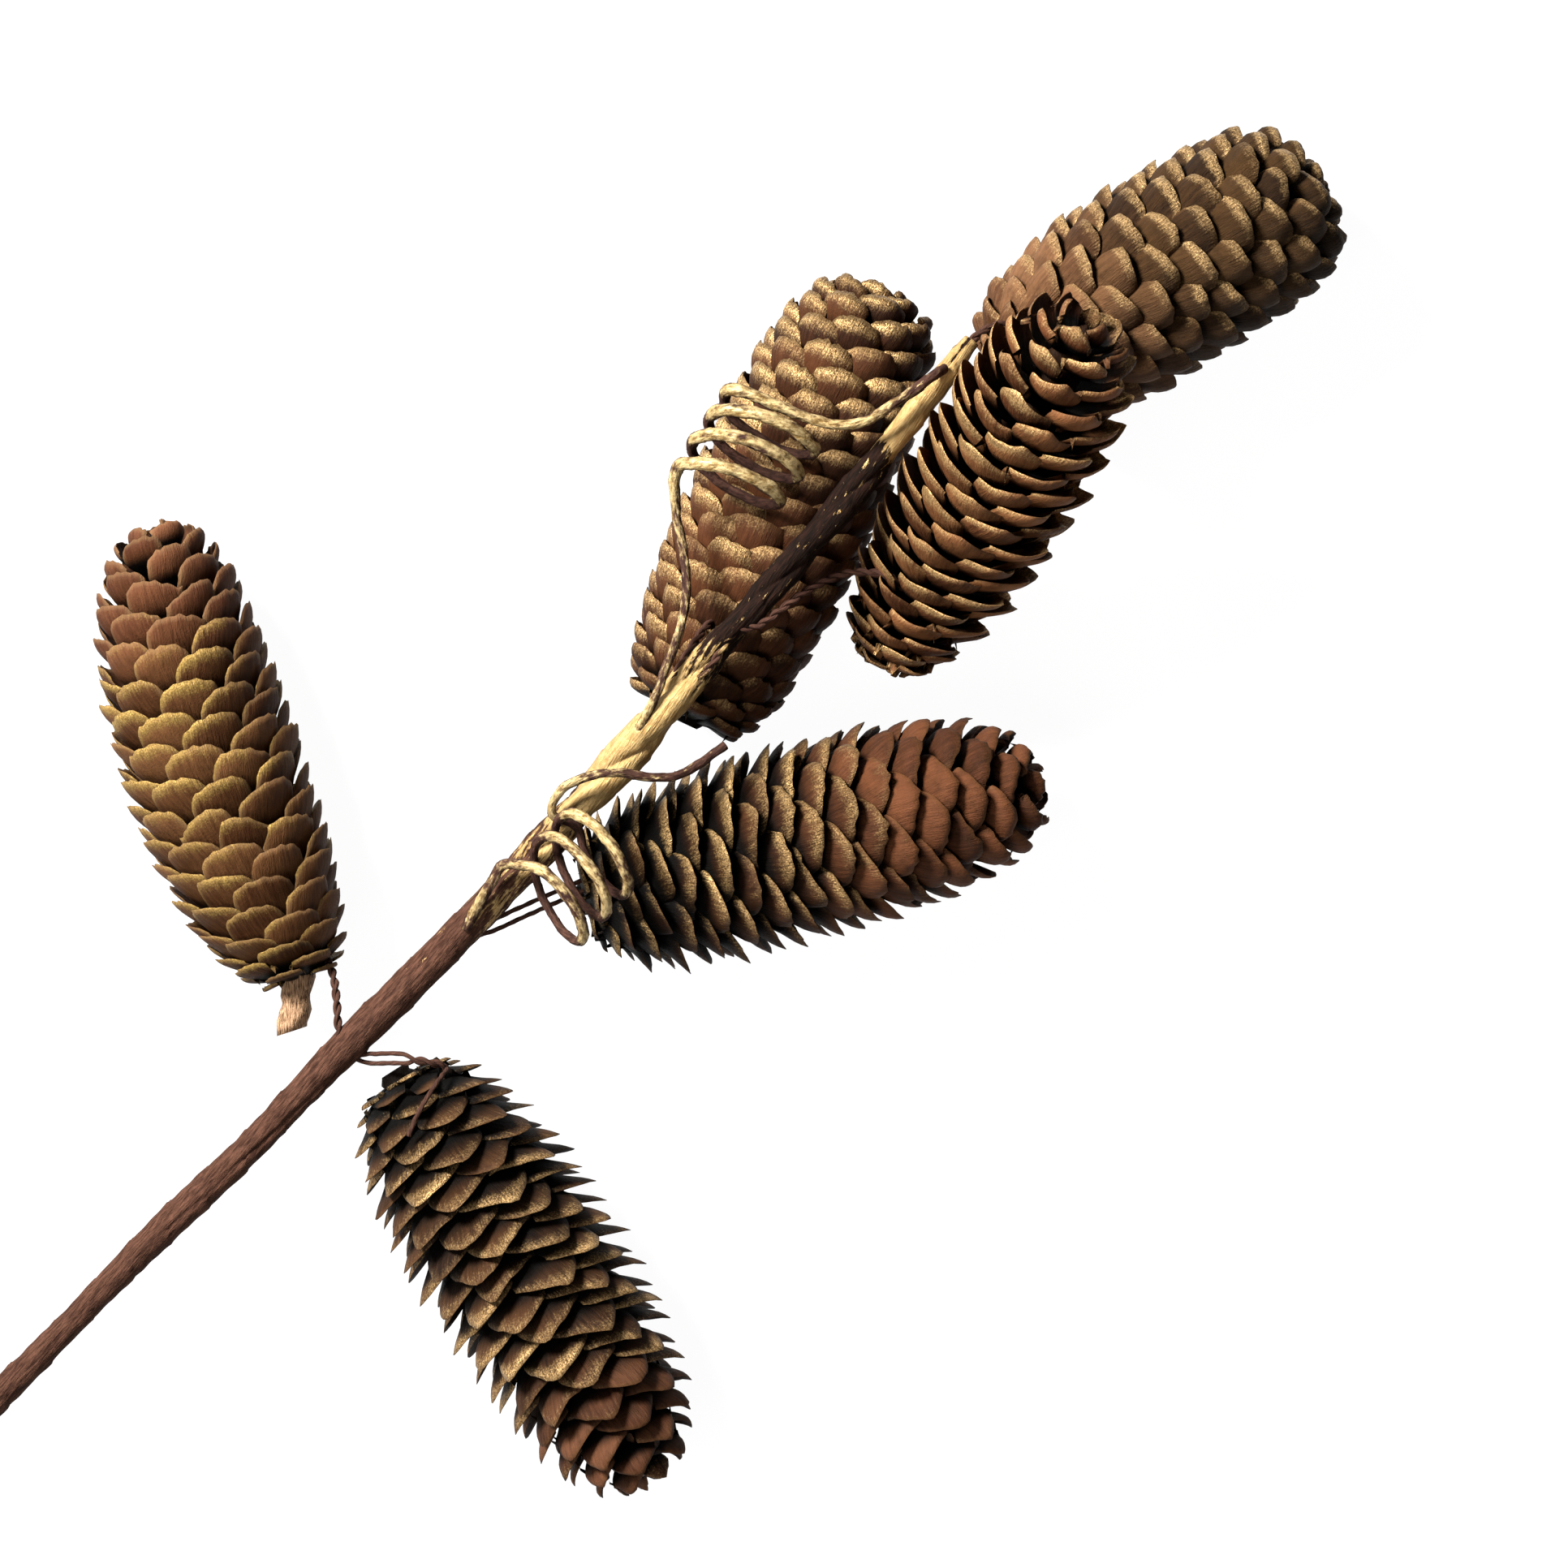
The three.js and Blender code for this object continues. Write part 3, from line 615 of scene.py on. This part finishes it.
def grow_scales(cone, length):
    """The place, stance and size of each of a cone's scales, in arrays that spread over its grid."""
    rng = np.random.default_rng(cone["seed"])
    share = scale_places(cone, length)
    count = len(share)
    radius = cone_radius(cone, share)
    near = 0.004
    ahead = np.minimum(share + near, 1)
    behind = np.maximum(share - near, 0)
    growth = cone_radius(cone, ahead) - cone_radius(cone, behind)
    surface = np.degrees(np.arctan2(growth, (ahead - behind) * length))
    openness = np.clip(mix(*cone["open"], share) + rng.normal(0, UNEVEN["open"], count), 0, 1)
    rise = np.maximum(radius * mix(CLOSED_RISE, OPEN_RISE, openness), LEAST_RISE)
    rise = np.minimum(rise, share * length * 0.9)
    reach = radius * (1 + rng.normal(0, UNEVEN["reach"], count)) - 0.4
    root = np.minimum(cone["radius"] * CORE_TO_RADIUS * 0.6, reach * 0.5)
    start = np.radians(mix(CLOSED_START, OPEN_START, openness))
    end = np.clip(surface, -55, 30) + along_cone(cone, "lift", share)
    end = np.radians(end + rng.normal(0, UNEVEN["end"], count))
    width = cone["width"] * (1 + rng.normal(0, UNEVEN["width"], count))
    width = width * np.maximum(radius / cone["radius"], NARROWEST) ** 0.5
    angle = math.radians(cone["turn"]) + cone["hand"] * np.arange(count) * GOLDEN_ANGLE
    angle = angle + rng.normal(0, UNEVEN["turn"], count)
    own = rng.uniform(0, 1, count)
    lean = rng.normal(0, UNEVEN["lean"], count)
    skew = rng.normal(0, UNEVEN["skew"], count)
    values = dict(share=share, rise=rise, reach=reach, root=root, start=start, end=end, angle=angle,
                  chord=np.hypot(rise, reach - root), half=width / 2, own=own, lean=lean, skew=skew)
    return SimpleNamespace(**{key: value[:, None, None] for key, value in values.items()})


def scale_grid(cone, at, length):
    """Outer and inner faces of all a cone's scales, as arrays of scale, row, column, with their fields."""
    g = grow_scales(cone, length)
    t = np.linspace(0, 1, ROWS)[None, :, None] ** 0.7
    v = (np.sin(np.linspace(-1, 1, COLUMNS) * 1.3) / math.sin(1.3))[None, None, :]

    # The outline: the scale's end drops towards its sides, and out is how far out a point lies
    jag = ripple(cone["seed"] + 5, v * 9 + g.own * 50, waves=5, low=0.4, high=2.0)
    peak = np.clip(np.abs(v - g.skew * (1 - v * v)), 0, 1)
    arc = 1 - (1 - peak ** cone["power"]) ** (1 / cone["power"])
    drop = cone["rounded"] * g.half * arc + JAG * jag
    out = t * (1 - drop / (1.1 * g.chord) * t ** 2)
    aside = v * g.half * mix(0.26, 1.0, smooth(0.0, 0.62, out))

    # The curve from the core to the cone's surface, leaving one and reaching the other at given angles
    from_root = 1 - 3 * out ** 2 + 2 * out ** 3
    pull_root = out - 2 * out ** 2 + out ** 3
    pull_end = out ** 3 - out ** 2
    along = (g.chord * np.cos(g.start) * pull_root + g.rise * (1 - from_root)
             + g.chord * np.cos(g.end) * pull_end)
    radius = (g.root * from_root + g.chord * np.sin(g.start) * pull_root + g.reach * (1 - from_root)
              + g.chord * np.sin(g.end) * pull_end)
    slope = np.arctan2(np.gradient(radius, axis=1), np.gradient(along, axis=1))
    wrap = np.maximum(radius, 0.5 * cone["radius"])

    # The sheet's bend across, and its thickness, which thins towards its edges
    wave = ripple(cone["seed"] + 9, v * 3.2 + g.own * 40, out * 2.0, waves=3)
    bend = -cone["bulge"] * g.half * v ** 2 * smooth(0.25, 0.8, out)
    bend = bend - cone["thick"] * smooth(0.84, 1.0, t) ** 2
    bend = bend + out ** 2 * (cone["wavy"] * wave * np.abs(v) + g.lean * v * 0.8)
    thick = cone["thick"] * np.sqrt((1 - 0.97 * t ** 8) * (1 - 0.97 * v ** 8))

    def shell(offset):
        shell_along = g.share * length - g.rise + along - np.sin(slope) * offset
        shell_radius = radius + np.cos(slope) * offset - wrap * (1 - np.cos(aside / wrap))
        return at(shell_along, shell_radius, g.angle + 0 * v, wrap * np.sin(aside / wrap))

    faces = [shell(bend + thick), shell(bend - thick)]
    flow = np.stack(np.broadcast_arrays(aside, out * g.chord, g.own * 97), -1)
    far = (1 - t) * g.chord
    margin = np.minimum(far, (1 - np.abs(v)) * g.half)
    fields = dict(out=out, rim=1 - smooth(*MARGIN, margin), own=g.own, share=g.share, far=far)
    return faces, fields, flow


def scale_faces(count, rows, columns):
    """The quads of closed scales: outer face, inner face and the rim between them."""
    def index(layer, row, column):
        return (layer * rows + row) * columns + column

    quads = []
    for row in range(rows - 1):
        for col in range(columns - 1):
            quads.append((index(0, row, col), index(0, row, col + 1), index(0, row + 1, col + 1),
                          index(0, row + 1, col)))
            quads.append((index(1, row, col), index(1, row + 1, col), index(1, row + 1, col + 1),
                          index(1, row, col + 1)))
    rim = [(0, c) for c in range(columns - 1)] + [(r, columns - 1) for r in range(rows - 1)]
    rim += [(rows - 1, c) for c in range(columns - 1, 0, -1)] + [(r, 0) for r in range(rows - 1, 0, -1)]
    for (r0, c0), (r1, c1) in zip(rim, rim[1:] + rim[:1]):
        quads.append((index(0, r1, c1), index(0, r0, c0), index(1, r0, c0), index(1, r1, c1)))
    one = np.array(quads)
    step = np.arange(count)[:, None, None] * (2 * rows * columns)
    return (one[None] + step).reshape(-1, 4)


def cone_core(cone, at, length):
    """The woody axis with the stub of its stalk, rough all over, and where it is a showing stub."""
    along = np.linspace(-cone["stalk"], 0.96 * length, CORE_RINGS)
    share = along / length
    thick, end = cone["stalk_radius"], -cone["stalk"] / length
    radius = np.interp(share, [end, 0.75 * end, 0.45 * end, 0, 0.03, 0.3, 0.75, 0.92, 0.96],
                       [thick * k for k in (0.75, 1.0, 0.8, 0.95, 1.0)]
                       + [cone["radius"] * CORE_TO_RADIUS * k for k in (0.9, 0.9, 0.6, 0.05)])
    angle = np.arange(CORE_AROUND) / CORE_AROUND * 2 * math.pi
    grid_along, grid_angle = np.meshgrid(along, angle, indexing="ij")
    rough = 1 + 0.16 * ripple(cone["seed"] + 3, np.cos(grid_angle) * 4, np.sin(grid_angle) * 4,
                              grid_along * 0.9)
    points = at(grid_along, radius[:, None] * rough, grid_angle).reshape(-1, 3)
    ends = at(np.array([along[0], along[-1]]), np.zeros(2), np.zeros(2))
    quads, caps = ring_faces(CORE_RINGS, CORE_AROUND)
    stub = np.repeat(smooth(4.0, 0.0, along) * (cone["stalk"] > SHOWING_STALK), CORE_AROUND)
    return np.vstack([points, ends]), quads, caps, np.concatenate([stub, stub[[0, -1]]])


def build_cone(name, cone):
    """A cone's scales and core in one piece."""
    at, length = cone_frame(cone)
    faces, shape, flow = scale_grid(cone, at, length)
    grid = np.stack(faces, 1)
    size = grid.shape[:-1]
    offset = grid.size // 3
    core_points, core_quads, core_caps, stub = cone_core(cone, at, length)
    core_zeros = np.zeros(len(core_points))
    share, out = shape["share"], shape["out"]

    def both_faces(values):
        return np.broadcast_to(values[:, None], size).ravel()

    # Gold paint near a scale's end, more on what faces the light; painted shade in the hollows and inner
    # faces
    facing = unit(np.cross(np.gradient(grid, axis=3), np.gradient(grid, axis=2)) + 1e-9) @ LIGHT_SIDE
    facing[:, 1] *= -1
    rng = np.random.default_rng(cone["seed"] + 20)
    whim = rng.normal(0, UNEVEN["paint"], (len(grid), 1, 1, 1))
    gilding = along_cone(cone, "paint", share)[:, None]
    strip = smooth(cone["strip"], 0, shape["far"])[:, None]
    # More gold where a face turns to the light: real paint, and partly a painted highlight on the lit side
    gold = (gilding * mix(0.3, 1.0, smooth(-0.1, 0.8, facing)) + whim) * strip
    zone = along_cone(cone, "zone", share) + 0 * out
    # Painted shade: a scale is dark out to this share of its length, and its inner face is dimmer
    painted_shade = along_cone(cone, "painted_shade", share)[:, None]
    painted_light = smooth(painted_shade, painted_shade + PAINTED_SHADE_TO_LIGHT, out[:, None])
    painted_light = painted_light * np.array([1.0, INNER_PAINTED_LIGHT]).reshape(1, 2, 1, 1)

    points = np.vstack([grid.reshape(-1, 3), core_points])
    points[:, 2] = np.maximum(points[:, 2], CLEAR_OF_TABLE)
    fields = {
        "own": np.concatenate([both_faces(shape["own"] + 0 * out), core_zeros + 0.4]),
        # The core is painted nearly all in shade, save a showing stub, which is painted fully lit
        "painted_light": np.concatenate([painted_light.ravel(), 0.1 + 0.9 * stub]),
        "stub": np.concatenate([np.zeros(offset), stub]),
        "rim": np.concatenate([both_faces(shape["rim"]), core_zeros]),
        "gold": np.concatenate([gold.ravel(), core_zeros]),
        "zone": np.concatenate([both_faces(zone), stub]),
        "flow": np.vstack([np.broadcast_to(flow[:, None], (*size, 3)).reshape(-1, 3), core_points]),
    }
    quads = np.vstack([scale_faces(len(grid), ROWS, COLUMNS), core_quads + offset])
    material = cone_material(name + "_finish", CONE_LOOKS[name])
    piece = make_piece(name + "_fine", to_world(points), quads, core_caps + offset, fields, material, name)


# The stem


def around_flow(angle, far, radius, twist):
    """Coordinates of a tube's surface in mm, without a seam, turning steadily along it."""
    turned = angle[None] + far[:, None] * twist
    return np.stack(np.broadcast_arrays(radius * np.cos(turned), far[:, None], radius * np.sin(turned)), -1)


def build_stem():
    """The wrapped stem: a spiral seam, folds along it, creases, and two strands twisted in one stretch."""
    route, far = follow(STEM_ROUTE, STEM_STEP)
    centres = route[:, :3]
    radius = route[:, 3]
    share = np.interp(centres[:, 0], *zip(*STEM_GOLD))
    sides, overs = frames_along(centres)
    angle = np.arange(STEM_AROUND) / STEM_AROUND * 2 * math.pi
    drift = 0.15 * np.sin(far[:, None] / 23)
    turn = (angle[None] / (2 * math.pi) + far[:, None] / SEAM_PITCH + drift) % 1.0
    seam = SEAM_HEIGHT * turn ** 4
    folds = 0.0
    rng = np.random.default_rng(30)
    for first in rng.uniform(0, 2 * math.pi, FOLDS):
        place = first + far * rng.uniform(-0.02, 0.02) + 0.3 * np.sin(far / rng.uniform(20, 45))
        away = (angle[None] - place[:, None] + math.pi) % (2 * math.pi) - math.pi
        depth = rng.uniform(0.15, 0.45) * smooth(-0.4, 0.6, np.sin(far / rng.uniform(14, 30) + first))
        folds = folds - depth[:, None] * np.exp(-(away / 0.14) ** 2)
    crease = 0.12 * ripple(31, far[:, None] * 0.9, np.cos(angle)[None] * 2.5, np.sin(angle)[None] * 2.5)
    lump = 0.22 * ripple(33, far[:, None] * 0.07, waves=3)
    twisted = (smooth(*TWISTED_FROM, far) * smooth(*TWISTED_TO, far))[:, None]
    spin = angle[None] - far[:, None] * 2 * math.pi / TWIST_PITCH
    pair = 0.42 * np.abs(np.cos(spin)) ** 0.7 - 0.3
    radii = radius[:, None] * (1 + twisted * pair) - 0.1 + seam + crease + lump + folds
    points, quads, caps, facing = tube(centres, sides, overs, radii)
    points[:, 2] = np.maximum(points[:, 2], CLEAR_OF_TABLE)
    gold = share[:, None] * mix(0.55, 1.0, smooth(-0.3, 0.6, facing)) - 0.25 * (folds < -0.2)
    flow = around_flow(angle, far, 4.2, 0.02)
    worn = smooth(*DARK_FROM, centres[:, :1]) + 0 * gold
    fields = {"gold": capped(gold), "worn": capped(worn), "flow": capped(flow)}
    piece = make_piece("stem_fine", to_world(points), quads, caps, fields,
                       paper_material("stem_paper", STEM_LOOK), "main_stem")


# Wires and tendrils


def strand(centres, far, seed, first):
    """One paper covered strand along its own centre line."""
    sides, overs = frames_along(centres)
    angle = np.arange(10) / 10 * 2 * math.pi
    radii = STRAND_RADIUS * (1 + 0.12 * ripple(seed, far[:, None] * 1.4, np.cos(angle)[None] * 2))
    points, quads, caps, _ = tube(centres, sides, overs, radii, first)
    return points, quads, caps, capped(around_flow(angle, far, 1.2, 0.5))


def build_wire(name, route_points, material):
    """A wire of two twisted strands, in one piece with any loose end."""
    route, far = follow(route_points, WIRE_STEP)
    sides, overs = frames_along(route)
    start, end, gap = PARTED.get(name, NOT_PARTED)
    parted = smooth(start, start + 4, far) * smooth(end, end - 4, far)
    spin = np.cumsum((1 - parted) * (far[1] - far[0])) / STRAND_PITCH * 2 * math.pi
    aside = 0.92 * STRAND_RADIUS + gap * parted
    parts = []
    count = 0
    for phase in (0.0, math.pi):
        turned = spin + phase
        outward = np.cos(turned)[:, None] * sides + np.sin(turned)[:, None] * overs
        centres = route + aside[:, None] * outward
        parts.append(strand(centres, far, 41 + int(phase), count))
        count += len(parts[-1][0])
    if name == "wire_b":
        loose, loose_far = follow(LOOSE_END, WIRE_STEP)
        parts.append(strand(loose, loose_far, 45, count))
        count += len(parts[-1][0])
    points, quads, caps, flow = (np.vstack(group) for group in zip(*parts))
    gold = np.where(flow[:, 1] < GILDED.get(name, -1.0), 0.3, -1.0)
    fields = {"gold": gold, "flow": flow}
    piece = make_piece(name + "_fine", to_world(points), quads, caps, fields, material, name)


def tendril_points(shape):
    """Riser, coil and tail of a tendril as one list of points, each with its gold and radius."""
    tilt = math.radians(shape["tilt"])
    count = round(shape["turns"] * COIL_POINTS_PER_TURN)
    golds, radii = shape["gold"], shape["radius"]
    points = [(*p, golds[0], radii[0]) for p in shape["riser"]]
    for i in range(count + 1):
        share = i / count
        angle = math.radians(shape["first"]) - share * shape["turns"] * 2 * math.pi
        along = math.cos(angle) * shape["across"]
        sway = math.sin(angle) * shape["sway"]
        x, y = (mix(a, b, share ** COIL_DRIFT) for a, b in zip(shape["start"][:2], shape["end"][:2]))
        x = x + along * math.cos(tilt) - sway * math.sin(tilt)
        y = y + along * math.sin(tilt) + sway * math.cos(tilt)
        z = mix(shape["start"][2], shape["end"][2], share) + math.sin(angle) * shape["deep"]
        front = float(smooth(-0.45, 0.35, math.sin(angle)))
        points.append((x, y, z, golds[1] * front, radii[1] * mix(0.75, 1, front)))
    left = len(shape["tail"]) - 1
    return points + [(*p, golds[2] * (1 - (i / left) ** 2), radii[2]) for i, p in enumerate(shape["tail"])]


def build_tendril(name, shape, material):
    """A tendril wrapped in uneven paper, painted where it faces up."""
    route, far = follow(tendril_points(shape), WIRE_STEP)
    centres, gold, radius = route[:, :3], route[:, 3], route[:, 4]
    sides, overs = frames_along(centres)
    around = 16
    angle = np.arange(around) / around * 2 * math.pi
    turn = (angle[None] / (2 * math.pi) + far[:, None] / 5.0) % 1.0
    lump = 0.12 * ripple(51, far[:, None] * 0.5, np.cos(angle)[None] * 1.5, np.sin(angle)[None] * 1.5)
    radii = radius[:, None] * (0.94 + lump + 0.12 * turn ** 3)
    points, quads, caps, facing = tube(centres, sides, overs, radii)
    gold = gold[:, None] * mix(0.15, 1.0, smooth(-0.3, 0.5, facing)) * 0.8
    fields = {"gold": capped(gold), "flow": capped(around_flow(angle, far, 1.5, 0.08))}
    piece = make_piece(name + "_fine", to_world(points), quads, caps, fields, material, name)


# The table, the light and the camera


def look_at(item, target):
    direction = target - np.array(item.location)
    item.rotation_euler = Vector(direction).to_track_quat("-Z", "Y").to_euler()


def build_stage():
    bpy.ops.mesh.primitive_plane_add(size=TABLE_SIZE, location=(0, 0, -TABLE_DROP))
    floor = bpy.context.object
    floor.name = "table"
    s = Shader("table_white")
    s.put(s.surface.inputs["Base Color"], (TABLE_GREY, TABLE_GREY, TABLE_GREY, 1))
    s.put(s.surface.inputs["Roughness"], TABLE_ROUGH)
    s.put(s.surface.inputs["Emission Color"], (1, 1, 1, 1))
    s.put(s.surface.inputs["Emission Strength"], TABLE_GLOW)
    floor.data.materials.append(s.material)


def area_light(name, place, size, power):
    data = bpy.data.lights.new(name, "AREA")
    data.shape = "DISK"
    data.size = size
    data.energy = power
    lamp = bpy.data.objects.new(name, data)
    lamp.location = to_world(place)
    bpy.context.scene.collection.objects.link(lamp)
    look_at(lamp, to_world(LIGHTS_AIM))


def build_light():
    bpy.context.scene.view_settings.view_transform = "Standard"
    world = bpy.data.worlds.new("studio")
    bpy.context.scene.world = world
    world.use_nodes = True
    sky = world.node_tree.nodes["Background"]
    sky.inputs["Color"].default_value = (1, 1, 1, 1)
    sky.inputs["Strength"].default_value = SKY_LIGHT
    for name, (place, size, power) in LIGHTS.items():
        area_light(name, place, size, power)


def build_camera():
    data = bpy.data.cameras.new("view")
    camera = bpy.data.objects.new("view", data)
    camera.location = to_world((0, 0, VIEW_HEIGHT))
    camera.rotation_euler = (0, 0, -STEM_ANGLE)
    data.sensor_width = SENSOR
    data.lens = SENSOR * (VIEW_HEIGHT - VIEW_MIDDLE) / VIEW_WIDTH
    data.clip_end = FAR_CLIP
    bpy.context.scene.collection.objects.link(camera)
    bpy.context.scene.camera = camera


build_camera()
build_light()
build_stage()
build_stem()
for cone_name, cone_shape in CONES.items():
    build_cone(cone_name, cone_shape)
wire_paper = paper_material("wire_paper", WIRE_LOOK)
for wire_name, wire_route in WIRES.items():
    build_wire(wire_name, wire_route, wire_paper)
tendril_paper = paper_material("tendril_paper", TENDRIL_LOOK)
for tendril_name, tendril_shape in TENDRILS.items():
    build_tendril(tendril_name, tendril_shape, tendril_paper)
